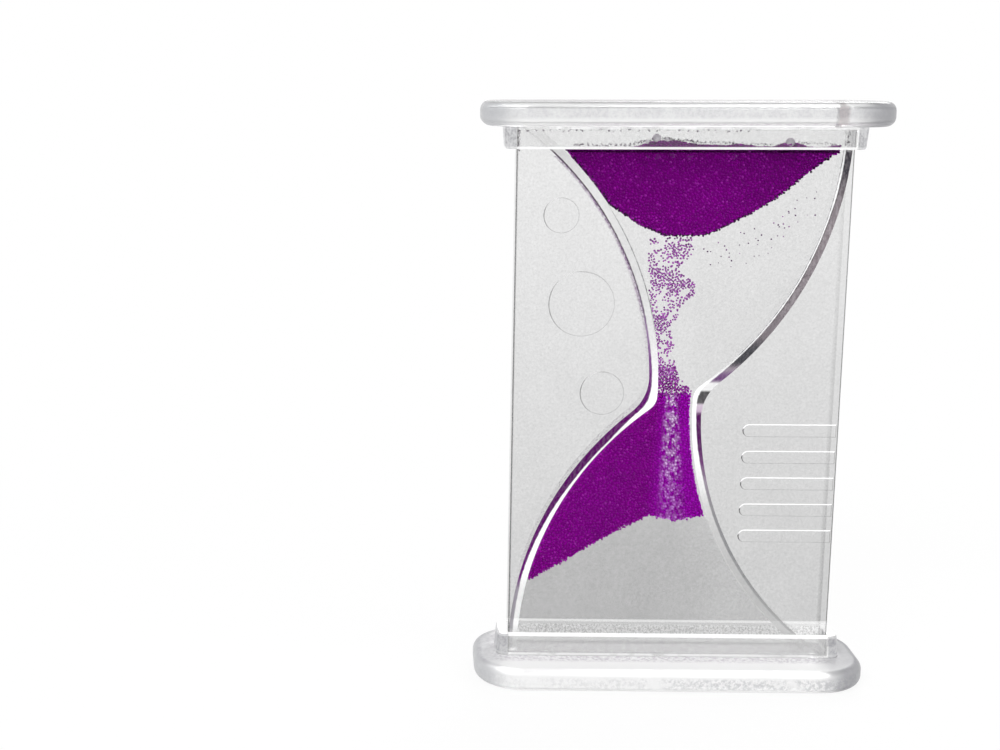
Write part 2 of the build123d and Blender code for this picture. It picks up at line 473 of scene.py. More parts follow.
def bead_tree():
    """Geometry nodes that scatter beads on a surface, with a share of gaps between clumps."""
    tree = bpy.data.node_groups.new("scatter_beads", "GeometryNodeTree")
    net = Net(tree)
    sockets = (
        ("Surface", "NodeSocketGeometry", None), ("Bead Diameter", "NodeSocketFloat", 0.6 * MM),
        ("Spacing", "NodeSocketFloat", 0.6 * MM), ("Size Spread", "NodeSocketFloat", 0.1),
        ("Fill", "NodeSocketFloat", 1.0), ("Clump Size", "NodeSocketFloat", 2 * MM),
        ("Clump Level", "NodeSocketFloat", 0.0), ("Jitter", "NodeSocketFloat", 0.1 * MM),
        ("Seed", "NodeSocketInt", 0), ("Finish", "NodeSocketMaterial", None))
    for name, kind, value in sockets:
        socket = tree.interface.new_socket(name, in_out="INPUT", socket_type=kind)
        if value is not None:
            socket.default_value = value
    tree.interface.new_socket("Beads", in_out="OUTPUT", socket_type="NodeSocketGeometry")
    inputs = tree.nodes.new("NodeGroupInput")
    given = {socket.name: Wire(net, socket) for socket in inputs.outputs if socket.name}

    place = net.node("GeometryNodeInputPosition")
    flat = net.stretch(place, (1, 0, 1))
    clump = net.node("ShaderNodeTexNoise", sockets={
        "Vector": flat, "Scale": 1 / given["Clump Size"], "Detail": 2.0, "Roughness": 0.6})
    fill = net.node("GeometryNodeInputNamedAttribute", {"data_type": "FLOAT"}, {"Name": "fill"})
    kept = net.maths("GREATER_THAN", clump + fill * FILL_WEIGHT, given["Clump Level"])
    points = net.node("GeometryNodeDistributePointsOnFaces", {"distribute_method": "POISSON"}, {
        "Mesh": given["Surface"], "Distance Min": given["Spacing"], "Density Max": MOST_BEADS,
        "Density Factor": kept * given["Fill"], "Seed": given["Seed"]})
    shift = net.node("FunctionNodeRandomValue", {"data_type": "FLOAT_VECTOR"}, {
        0: (-1, -1, -1), 1: (1, 1, 1), "Seed": given["Seed"]})
    points = net.node("GeometryNodeSetPosition", sockets={
        "Geometry": points, "Offset": net.scale(shift, given["Jitter"])})
    bead = net.node("GeometryNodeMeshUVSphere", sockets={
        "Segments": 7, "Rings": 4, "Radius": given["Bead Diameter"] / 2})
    size = net.node("FunctionNodeRandomValue", {"data_type": "FLOAT"}, {
        2: 1 - given["Size Spread"], 3: 1.0, "Seed": given["Seed"] + 1}, output=1)
    turn = net.node("FunctionNodeRandomValue", {"data_type": "FLOAT_VECTOR"}, {
        0: (0, 0, 0), 1: (6.28, 6.28, 6.28), "Seed": given["Seed"] + 2})
    beads = net.node("GeometryNodeInstanceOnPoints", sockets={
        "Points": points, "Instance": bead, "Rotation": turn, "Scale": size})
    tone = net.node("FunctionNodeRandomValue", {"data_type": "FLOAT"}, {
        2: 0.0, 3: 1.0, "Seed": given["Seed"] + 3}, output=1)
    beads = net.node("GeometryNodeStoreNamedAttribute", {"data_type": "FLOAT", "domain": "INSTANCE"}, {
        "Geometry": beads, "Name": "tone", "Value": tone})
    beads = net.node("GeometryNodeRealizeInstances", sockets={"Geometry": beads})
    beads = net.node("GeometryNodeSetShadeSmooth", sockets={"Geometry": beads})
    beads = net.node("GeometryNodeSetMaterial", sockets={"Geometry": beads, "Material": given["Finish"]})
    net.plug(tree.nodes.new("NodeGroupOutput").inputs["Beads"], beads)
    return tree


def scatter(name, surface, finish, body=BODY, **inputs):
    """Cover a surface with beads: one plain mesh that rides on a body."""
    beads = bpy.context.scene.timer_beads
    tree = bpy.data.node_groups.get("scatter_beads") or bead_tree()
    carrier = add_piece(name + "_surface", plain_mesh(name + "_surface", surface), None)
    modifier = carrier.modifiers.new("Beads", "NODES")
    modifier.node_group = tree
    values = {"Bead Diameter": beads.diameter, "Spacing": beads.spacing, "Seed": beads.seed,
              "Finish": finish.material, **inputs}
    for item in tree.interface.items_tree:
        if item.in_out == "INPUT" and item.name in values:
            modifier[item.identifier] = values[item.name]
    evaluated = carrier.evaluated_get(bpy.context.evaluated_depsgraph_get())
    plain = bpy.data.meshes.new_from_object(evaluated)
    plain.name = name
    bpy.data.objects.remove(carrier)
    if not plain.polygons:
        raise RuntimeError(f"no beads came out for {name}")
    return add_piece(name, plain, body)


def panel_finish(plastic, name, haze, foot_haze_and_shade, edge):
    """Thin moulded sheet: a grainy veil over what lies behind, with painted shade lines at its ends and
    painted highlights and shade at its reliefs.

    The veil goes from foot_haze_and_shade at the foot to haze at the top, the foot's greater share being
    painted shade; edge says how far the painted shade lines at the ends show.
    """
    net = Finish(name, Roughness=0.18, IOR=1.49, Specular_IOR_Level=0.25, Emission_Strength=1.0)
    vector, (x, y, z) = net.place()
    normal_x, normal_y, normal_z = net.facing()
    grain = net.step(net.noise(vector, plastic.grain, 3.0, 0.65), 0.3, 0.7)
    cloud = net.noise(vector, 20 * plastic.grain, 2.0)
    height = net.step(z, CHAMBER_LOW.z, CHAMBER_HIGH.z)
    right = net.step(x, -25 * MM, 25 * MM)
    right_strip = net.step(x, HALF_WIDTH - 2.5 * MM, HALF_WIDTH - 2.0 * MM)
    right_end = net.step(x, HALF_WIDTH - 0.4 * MM, HALF_WIDTH)
    both_ends = net.step(abs(x), HALF_WIDTH - 0.9 * MM, HALF_WIDTH - 0.5 * MM)

    # Painted highlights and painted shade on the relief edges and the panel's end faces: the bars on the
    # right half are lit from above, the discs on the left half along an arc, and the shade lines are
    # darkest on faces turned left
    turned = net.step(abs(normal_y), 0.99, 0.75)
    upward = net.step(normal_z, 0.12, 0.4)
    leftward = net.step(normal_x, -0.3, -0.8)
    bars = net.step(x, 0.0, MM)
    lit_arc = net.band(normal_x, -0.75, -0.05, 0.2) * upward
    relief_highlight = turned * net.most(upward * bars * 0.85, lit_arc * 0.5)
    dark = turned * (0.26 + 0.40 * leftward) * (1 + 0.35 * bars) * (1 - 0.45 * right_end)
    line = net.most(relief_highlight * 0.9, dark * (1 - relief_highlight)) * (1 - both_ends * (1 - edge))

    # Painted shade: the veil deepens toward the foot and the right side, and along a strip near the right
    # end; it thins where the bright rear of the lower collar lies behind the body
    veil = foot_haze_and_shade + (haze - foot_haze_and_shade) * height + plastic.side_shade * right
    veil = veil * (0.85 + 0.3 * cloud) + 0.045 * (grain - 0.5)
    veil = veil + edge * (0.05 + 0.08 * (1 - height)) * right_strip
    veil = veil * (0.4 + 0.6 * net.above_collar(y, z))
    # The painted highlights are white and glow; the veil and the painted shade lines are near black
    net.feed("Base Color", net.mix(relief_highlight, (0.015, 0.015, 0.018), WHITE))
    net.feed("Emission Color", net.mix(relief_highlight, BLACK, (0.45, 0.45, 0.45)))
    net.feed("Alpha", net.clamp(veil + line))
    net.bump(grain, 0.02 * MM, 0.5)
    return net


def wall_finish(name, side, painted_bands, shade_rim_heights, speckle):
    """Clear strip whose front and back show a light band that glows as painted light and a dark band of
    painted reflection of the beads and the room, with painted glints.
    """
    net = Finish(name, Roughness=0.3, IOR=1.2, Specular_IOR_Level=0.15, Emission_Strength=1.0)
    vector, (_, _, z) = net.place()
    normal_x, normal_y, _ = net.facing()
    across = net.attribute("across")
    height = z / CHAMBER_HIGH.z
    # Painted reflection and light, read off by height: the dark band's colour, its width, and the light of
    # the rest
    tone = net.ramp(height, [(high, colour) for high, colour, _, _ in painted_bands])
    width = net.ramp(height, [(high, (share,) * 3) for high, _, share, _ in painted_bands])
    light = net.ramp(height, [(high, (share,) * 3) for high, _, _, share in painted_bands])
    wobble = net.noise(vector, 0.8 * MM, 3.0, 0.6)
    streak = net.step(net.noise(net.stretch(vector, (1, 0, 0.45)), 0.7 * MM, 3.0, 0.6), 0.4, 0.65)

    # Painted shade: the dark band ends in a darker line in the upper chamber, and a thin dark rim edges the
    # other side
    band = 1 - net.step(across + 0.14 * wobble, width, width + 0.12)
    band = band * net.step(width, 0.02, 0.1)
    inner = net.band(across, width - 0.16, width + 0.14, 0.08) * net.step(z, 88 * MM, 94 * MM)
    tone = net.mix(streak * (0.10 + 0.25 * net.step(z, 88 * MM, 96 * MM)), tone, (0.62, 0.58, 0.61))
    tone = net.mix(inner * 0.6, tone, (0.05, 0.045, 0.05))
    rim = net.step(across, 0.86, 0.92) * (0.45 + 0.4 * streak) * net.band(z, *shade_rim_heights, 8 * MM)
    shade = net.mix(band, net.mix(light, BLACK, (0.9, 0.9, 0.9)), tone)
    net.feed("Base Color", net.mix(rim, shade, (0.1, 0.1, 0.11)))
    # Painted light: outside the dark band and rim the strip glows
    glow = light * (1 - net.clamp(band + rim))
    net.feed("Emission Color", net.mix(glow, BLACK, (0.34, 0.34, 0.34)))

    # Its long sides are nearly clear, apart from specks beside the lower heap
    flat = net.step(abs(normal_y), 0.5, 0.8)
    specks = net.step(net.noise(vector, 0.45 * MM, 3.0, 0.7), 0.45, 0.7) * speckle
    outer = net.step(normal_x * side, 0.1, 0.3) * (1 - net.step(z, 64 * MM, 76 * MM))
    outer = outer * net.step(z, 24 * MM, 32 * MM)
    cover = 1 - 0.85 * net.step(z, LIQUID_LEVEL - 1.5 * MM, LIQUID_LEVEL)
    cover = cover - 0.6 * net.step(z, 13 * MM, 10 * MM)
    net.feed("Alpha", net.outside() * cover * (flat + (1 - flat) * (0.05 + outer * specks)))
    return net


def reflection_finish():
    """Faint reflection of the beads beside a wall: ragged specks that fade away from it."""
    net = Finish("bead_reflection", Roughness=0.5, Specular_IOR_Level=0.0, Base_Color=(0.16, 0.01, 0.20))
    vector, (_, _, z) = net.place()
    away = net.attribute("across")
    specks = net.step(net.noise(vector, 0.7 * MM, 4.0, 0.75), 0.35, 0.7)
    near = (1 - net.step(away, 0.0, 0.9)) ** 1.5
    tall = net.step(z, 78 * MM, 90 * MM) * (1 - 0.55 * net.step(z, 100 * MM, 90 * MM))
    net.feed("Alpha", near * (0.12 + 0.6 * specks) * tall)
    return net


class CapFinish(Finish):
    """Thick moulded plastic: clear, with a mottled milky layer that is denser on the foot plate and lip,
    and that carries painted light, highlights and shade.
    """

    # Depths from the outer face where each part fades in: rim, collar, and the bright row and lip of
    # painted highlights
    RIM = (0.15 * MM, 0.6 * MM)
    COLLAR = (5.7 * MM, 6.1 * MM)
    ROW = (5.8 * MM, 6.7 * MM, 0.2 * MM)
    LIP = (10.6 * MM, 10.8 * MM)
    # Half width past which the collar's ears stand free of the body
    EARS = (39.9 * MM, 40.3 * MM)

    def __init__(self, name, outer_face, haze, grey, patchy, rim_shade_tone):
        super().__init__(name, Roughness=0.05, IOR=1.45, Transmission_Weight=1.0, Base_Color=(0.98,) * 3)
        self.patchy = patchy
        self.vector, (self.x, self.y, z) = self.place()
        _, normal_y, normal_z = self.facing()
        self.depth = abs(z - outer_face)
        side = abs(self.x)
        self.mottle = self.noise(self.vector, 1.0 * MM, 4.0, 0.7)
        self.spots = self.step(self.mottle, 0.40, 0.62)
        if patchy:
            self.patch = self.step(self.noise(self.vector, 7.0 * MM, 2.0), 0.28, 0.5)
        else:
            self.patch = self.step(self.noise(self.vector, 5.0 * MM, 2.0), 0.35, 0.6)
        self.right = self.step(self.x, -35 * MM, 35 * MM)
        self.level = self.step(abs(normal_z), 0.6, 0.9)
        self.collar = self.step(self.depth, *self.COLLAR)
        # Painted shade: the foot plate's rounded ends are greyer, the right end more, and the collar's ears
        # grey where they stand free
        self.ends = self.step(side, 39 * MM - 5 * MM * self.right, 46 * MM - 3 * MM * self.right)
        self.ears = self.step(side, *self.EARS)
        self.crown = self.level * (1 - self.step(self.depth, 0.15 * MM, 0.5 * MM))
        # Painted light: on the lower cap, the collar's rear faces between 3 and 5.5 mm behind the middle
        # are lighter, with fine specks
        rear = self.step(self.y, 3.0 * MM, 3.5 * MM) - self.step(self.y, 5.4 * MM, 5.6 * MM)
        self.rear = rear * self.step(abs(normal_y), 0.6, 0.9) * float(patchy)
        # Painted highlights: a bright row under the foot plate, the lip and the level faces, less on the
        # ears
        row = self.band(self.depth, *self.ROW) * (0.3 + 0.5 * self.patch)
        bright = self.most(self.step(self.depth, *self.LIP), row)
        self.bright = self.most(bright * (1 - 0.7 * self.ears), self.level)

        tone = self.mix(self.collar, self.plate_tone(rim_shade_tone), self.collar_tone(grey))
        # Painted light: the milky layer glows in its own tone, weakly on the foot plate and strongly on the
        # collar
        over = self.cover(
            self.clamp(self.outside() * self.amount(haze)), Roughness=0.3, IOR=1.3,
            Specular_IOR_Level=0.15, Emission_Strength=1.0)
        self.plug(over["Base Color"], self.mix(0.62 * self.collar, tone, BLACK))
        self.plug(over["Emission Color"], self.mix(0.10 + 0.62 * self.collar, BLACK, tone))
        self.bump(self.mottle, 0.12 * MM, 0.4)

    def plate_tone(self, rim_shade_tone):
        """Foot plate: a mottled band round its middle, painted shade on its ends, near the body and along
        its outer rim, and on the top cap a painted reflection of the beads.
        """
        if self.patchy:
            base = 0.84
            band = self.band(self.depth, 0.6 * MM, 4.4 * MM, 1.0 * MM) * self.patch * self.spots
            band = band * (0.4 + 0.9 * self.right)
        else:
            base = 0.68
            band = self.band(self.depth, 0.5 * MM, 4.4 * MM, 1.2 * MM)
            band = band * (0.55 + 0.25 * self.spots + 0.2 * self.patch)
        tone = self.mix(band, (base,) * 3, (0.61 * base, 0.61 * base, 0.63 * base))
        # Painted shade: the foot plate's level faces are darker where they meet the body
        shade_near_body = self.level * (1 - self.step(abs(self.y), 8.0 * MM, 10.5 * MM))
        tone = self.mix(shade_near_body * (0.3 + 0.7 * self.spots), tone, (0.38, 0.34, 0.40))
        if not self.patchy:
            # Painted reflection of the beads: a mauve line on the left of the top cap's outer side
            bead_reflection_line = self.band(self.depth, 4.7 * MM, 5.7 * MM, 0.4 * MM) * (0.3 + 0.7 * self.spots)
            bead_reflection_line = bead_reflection_line * self.step(self.x, -38 * MM, -20 * MM) * (1 - self.level)
            tone = self.mix(bead_reflection_line * 0.7, tone, (0.42, 0.34, 0.43))
        end_shade_tone = self.mix(self.right, (0.40, 0.405, 0.42), (0.27, 0.27, 0.285))
        tone = self.mix(self.ends * (0.75 + 0.15 * self.mottle + 0.1 * self.right), tone, end_shade_tone)
        # Painted shade: a dark line along the outer rim, weaker on the level outer face
        rim = (1 - self.step(self.depth, *self.RIM)) * (0.9 - 0.3 * self.crown)
        return self.mix(rim, tone, (rim_shade_tone,) * 3)

    def collar_tone(self, grey):
        """Collar: speckled, with painted shade on its ears, painted light on the lower cap's rear, and
        painted highlights on a bright row under the foot plate and on a bright lip.
        """
        rising = self.step(self.depth, 6.0 * MM, 9.5 * MM)
        tone = self.mix(self.spots * 0.35 + rising * 0.3, (1.12 * grey,) * 3, (0.85 * grey,) * 3)
        tone = self.mix(self.ears * (0.6 + 0.4 * self.spots), tone, (0.32, 0.32, 0.34))
        fine = self.step(self.noise(self.vector, 0.5 * MM, 3.0, 0.7), 0.42, 0.62)
        tone = self.mix(self.rear, tone, self.mix(fine, (1.25,) * 3, (0.78,) * 3))
        return self.mix(self.bright, tone, WHITE)

    def amount(self, haze):
        """How much of the milky layer shows over the clear plastic."""
        plate = 0.6 + 0.32 * self.ends
        amount = plate + (haze - plate) * self.collar
        amount = self.most(amount, 0.85 * self.collar * self.bright * (1 - 0.5 * self.ears))
        amount = self.most(amount, 0.8 * self.collar * self.ears * (1 - self.level))
        amount = self.most(amount, 0.75 * self.collar * self.rear)
        amount = self.most(amount, 0.95 * (1 - self.step(self.depth, 0.15 * MM, 0.5 * MM)))
        return amount * (1 - 0.45 * self.crown)


def plug_finish():
    """Pink stopper, denser at its foot."""
    net = Finish("pink_plug", Roughness=0.3)
    vector, (_, _, z) = net.place()
    low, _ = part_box("fill_plug")
    cloud = net.noise(vector, 0.8 * MM, 3.0)
    foot = 1 - net.step(z, low.z + 0.3 * MM, low.z + 1.2 * MM)
    pale = net.mix(cloud, (0.80, 0.45, 0.47), (0.90, 0.70, 0.70))
    net.feed("Base Color", net.mix(foot, pale, (0.60, 0.28, 0.28)))
    net.feed("Alpha", 0.5 + 0.4 * foot)
    return net


def liquid_finish(plastic):
    """Clear oil with painted shade: greyer toward the foot of the lower chamber."""
    net = Finish("carrier_oil", Roughness=0.05, IOR=1.40, Specular_IOR_Level=0.25)
    vector, (x, y, z) = net.place()
    cloud = net.noise(vector, 9 * MM, 2.0)
    # Painted shade: darker toward the foot of the lower chamber, less on the right and where the bright
    # rear of the lower collar lies behind
    lower_shade = 1 - net.step(z, 30 * MM, 75 * MM)
    lower_shade = lower_shade * (0.25 + 0.75 * net.above_collar(y, z))
    lower_shade = lower_shade * (1 - 0.5 * net.step(x, -5 * MM, 20 * MM))
    net.feed("Base Color", net.mix(cloud, (0.02, 0.02, 0.022), (0.035, 0.035, 0.038)))
    net.feed("Alpha", 0.01 + plastic.liquid_shade * lower_shade * (0.85 + 0.3 * cloud))
    return net


def bead_finish(beads, name, colour, column=False, within=None):
    """Little beads, each in its own tone, with a few that carry a painted sparkle.

    Column adds the painted light of the part under the neck, and within is the colour of the beads deeper
    in the slab.
    """
    net = Finish(name, Roughness=0.45, IOR=1.4, Specular_IOR_Level=0.03)
    vector, (x, y, z) = net.place()
    tone = net.attribute("tone")
    if within:
        far_in = net.step(abs(y), SLAB_HALF - 0.9 * MM, SLAB_HALF - 1.3 * MM)
        colour = net.mix(far_in, colour, within)
    # Beads are lighter toward the lower heap
    lighter_below = 0.93 + 0.2 * net.step(z, HEAP_TOP + 20 * MM, HEAP_TOP)
    # Painted shade: a dark band on the beads just under the lip of the upper collar
    lip_shade = net.band(z, LIQUID_LEVEL - 1.7 * MM, LIQUID_LEVEL - 0.7 * MM, 0.4 * MM)
    cloud = 0.8 + 0.4 * net.noise(vector, 14 * MM, 2.0)
    shade = net.scale(colour, lighter_below * (1 - 0.75 * lip_shade) * cloud * (0.78 + 0.44 * tone))
    # Painted highlight: a few beads are lighter, as sparkle
    sparkle = net.step(tone, 0.90, 0.97)
    shade = net.mix(sparkle * 0.35, shade, (0.60, 0.06, 0.66))
    if column:
        # Painted light: beads under the neck are lighter, violet along the column and in pale patches at
        # its middle
        down = HEAP_TOP - z
        below = 1 - net.step(z, HEAP_TOP, HEAP_TOP + 2 * MM)
        off = abs(x + 0.9 * MM - 0.03 * down) / (1.8 * MM + 0.065 * down)
        violet = net.most(1 - net.step(off, 0.6, 2.0), net.step(x, 0, 1.5 * MM))
        violet = violet * (0.35 + 0.65 * tone) * below
        shade = net.mix(violet * 0.9, shade, (0.50, 0.0, 0.66))
        upright = net.stretch(vector, (1, 0, 0.6))
        patch = net.step(net.noise(upright, 1.1 * MM, 3.0, 0.7), 0.44, 0.56)
        pale = (1 - net.step(off, 0.3, 1.1)) * patch * (0.4 + 0.6 * net.step(tone, 0.2, 0.5))
        far_down = net.step(down, 12 * MM, 26 * MM)
        pale_colour = net.mix(far_down, (0.95, 0.78, 1.0), (0.74, 0.33, 0.86))
        shade = net.mix(pale * below, shade, pale_colour)
    else:
        foot = net.step(z, HEAP_TOP + 17 * MM, HEAP_TOP + 2 * MM) * net.step(tone, 0.75, 0.35)
        foot = net.most(foot, net.step(z, HEAP_TOP + 4 * MM, HEAP_TOP + 1.2 * MM))
        shade = net.mix(foot * 0.7, shade, tuple(beads.colour))
    net.feed("Base Color", shade)
    return net


def bubble_finish(name, middle, rim, cover):
    """Small round skin with painted light and shade: one colour where it faces the eye and another one
    towards its rim.
    """
    net = Finish(name, Roughness=0.2, IOR=1.3)
    vector, _ = net.place()
    cloud = 0.85 + 0.3 * net.noise(vector, 0.4 * MM, 2.0)
    edge = net.step(net.graze(0.5), 0.35, 0.7)
    net.feed("Base Color", net.mix(edge, middle, rim))
    net.feed("Alpha", net.clamp(cloud * cover))
    return net


class TIMER_OT_stage(bpy.types.Operator):
    """Set the floor, the room, the lamps and the camera"""

    bl_idname = "timer.stage"
    bl_label = "Stage"

    FLOOR_REACH = 4.0
    FLOOR_DROP = 0.05 * MM
    # Distances from the timer between which the shadow on the floor fades out
    SHADOW_REACH = (0.08, 0.30)
    # For each lamp: place, size and share of the key lamp's power
    LAMPS = {
        "key": ((-0.45, -0.65, 0.75), 0.5, 1.0), "fill": ((0.75, -0.45, 0.45), 0.6, 0.35),
        "rim": ((0.30, 0.70, 0.60), 0.5, 0.5)}
    # The camera's angles in radians, its place, and the column of the picture that it points at
    YAW, PITCH, ROLL = -0.02488, 0.1928, 0.000915
    CAMERA_PLACE = (-64.19 * MM, -376.0 * MM, 149.9 * MM)
    PICTURE_WIDTH, AXIS_COLUMN = 1000, 376
    SENSOR_WIDTH = 36

    def execute(self, context):
        settings = context.scene.timer_stage
        self.floor()
        self.room(context.scene, settings)
        self.lamps(context.scene, settings)
        self.camera(context.scene, settings)
        context.scene.view_settings.view_transform = "Standard"
        return {"FINISHED"}

    def floor(self):
        work = bmesh.new()
        bmesh.ops.create_grid(work, x_segments=4, y_segments=4, size=self.FLOOR_REACH)
        bmesh.ops.translate(work, verts=work.verts, vec=(0, 0, -self.FLOOR_DROP))
        net = Finish("pale_floor")
        net.tree.nodes.clear()
        paint = net.node("ShaderNodeBsdfDiffuse", sockets={"Color": (0.92, 0.92, 0.92)})
        glow = net.node("ShaderNodeEmission", sockets={"Color": WHITE, "Strength": 1.0})
        vector, _ = net.place()
        away = net.node("ShaderNodeVectorMath", {"operation": "LENGTH"}, {0: vector}, output=1)
        glowing = 0.9 + 0.1 * net.step(away, *self.SHADOW_REACH)
        seen = net.rays("Camera", "Glossy", "Transmission")
        blend = net.node("ShaderNodeMixShader", sockets={0: seen * glowing, 1: paint, 2: glow})
        net.plug(net.tree.nodes.new("ShaderNodeOutputMaterial").inputs[0], blend)
        new_piece("floor", work, net, body=None)

    def room(self, scene, settings):
        world = bpy.data.worlds.new("white_room")
        scene.world = world
        world.use_nodes = True
        net = Net(world.node_tree)
        net.tree.nodes.clear()
        _, _, height = net.split(net.node("ShaderNodeTexCoord"))
        ceiling = 1 - 0.8 * net.step(height, 0.30, 0.75)
        strength = settings.daylight + net.rays("Glossy", "Transmission") * (ceiling - settings.daylight)
        strength = strength + net.rays("Camera") * (1 - strength)
        shader = net.node("ShaderNodeBackground", sockets={"Color": WHITE, "Strength": strength})
        net.plug(net.tree.nodes.new("ShaderNodeOutputWorld").inputs[0], shader)

    def lamps(self, scene, settings):
        for name, (place, size, share) in self.LAMPS.items():
            lamp = bpy.data.lights.new(name, "AREA")
            lamp.shape = "DISK"
            lamp.size = size
            lamp.energy = settings.lamp_power * share
            holder = bpy.data.objects.new(name, lamp)
            scene.collection.objects.link(holder)
            aim = Vector((0, 0, NECK_HEIGHT)) - Vector(place)
            turn = aim.to_track_quat("-Z", "Y").to_matrix().to_4x4()
            holder.matrix_world = Matrix.Translation(place) @ turn

    def camera(self, scene, settings):
        """Camera left of the middle, a little above the top, turned and tipped to the photograph."""
        lens = bpy.data.cameras.new("camera")
        lens.lens = settings.lens
        lens.sensor_width = self.SENSOR_WIDTH
        lens.shift_x = 0.5 - self.AXIS_COLUMN / self.PICTURE_WIDTH
        lens.clip_start = 10 * MM
        holder = bpy.data.objects.new("camera", lens)
        scene.collection.objects.link(holder)
        turn = Matrix.Rotation(-self.YAW, 4, "Z") @ Matrix.Rotation(math.pi / 2 - self.PITCH, 4, "X")
        turn = turn @ Matrix.Rotation(self.ROLL, 4, "Z")
        holder.matrix_world = Matrix.Translation(self.CAMERA_PLACE) @ turn
        scene.camera = holder


class TIMER_OT_shell(bpy.types.Operator):
    """Finish the panels, the end caps and the plug"""

    bl_idname = "timer.shell"
    bl_label = "Clear Shell"

    # For each panel: shares of the haze at its top and foot, the foot's greater share being painted shade,
    # and how far the painted shade lines at its ends show
    PANELS = {"front_panel": (0.9, 1.5, 1.0), "back_panel": (1.2, 2.6, 0.0)}
    # For each cap: milkiness and grey of its collar, whether its mottled band is patchy, and
    # the grey of the painted shade on its outer rim
    CAPS = {"bottom_end_cap": (0.45, 0.57, True, 0.4), "top_end_cap": (0.0, 0.85, False, 0.14)}

    def execute(self, context):
        plastic = context.scene.timer_plastic
        haze = plastic.panel_haze
        for name, (top, foot, edge) in self.PANELS.items():
            dress(name, panel_finish(plastic, name + "_plastic", top * haze, foot * haze, edge))
        for name, looks in self.CAPS.items():
            low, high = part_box(name)
            outer_face = max(low.z, high.z, key=lambda height: abs(height - NECK_HEIGHT))
            dress(name, CapFinish(name + "_plastic", outer_face, *looks))
        dress("fill_plug", plug_finish())
        return {"FINISHED"}


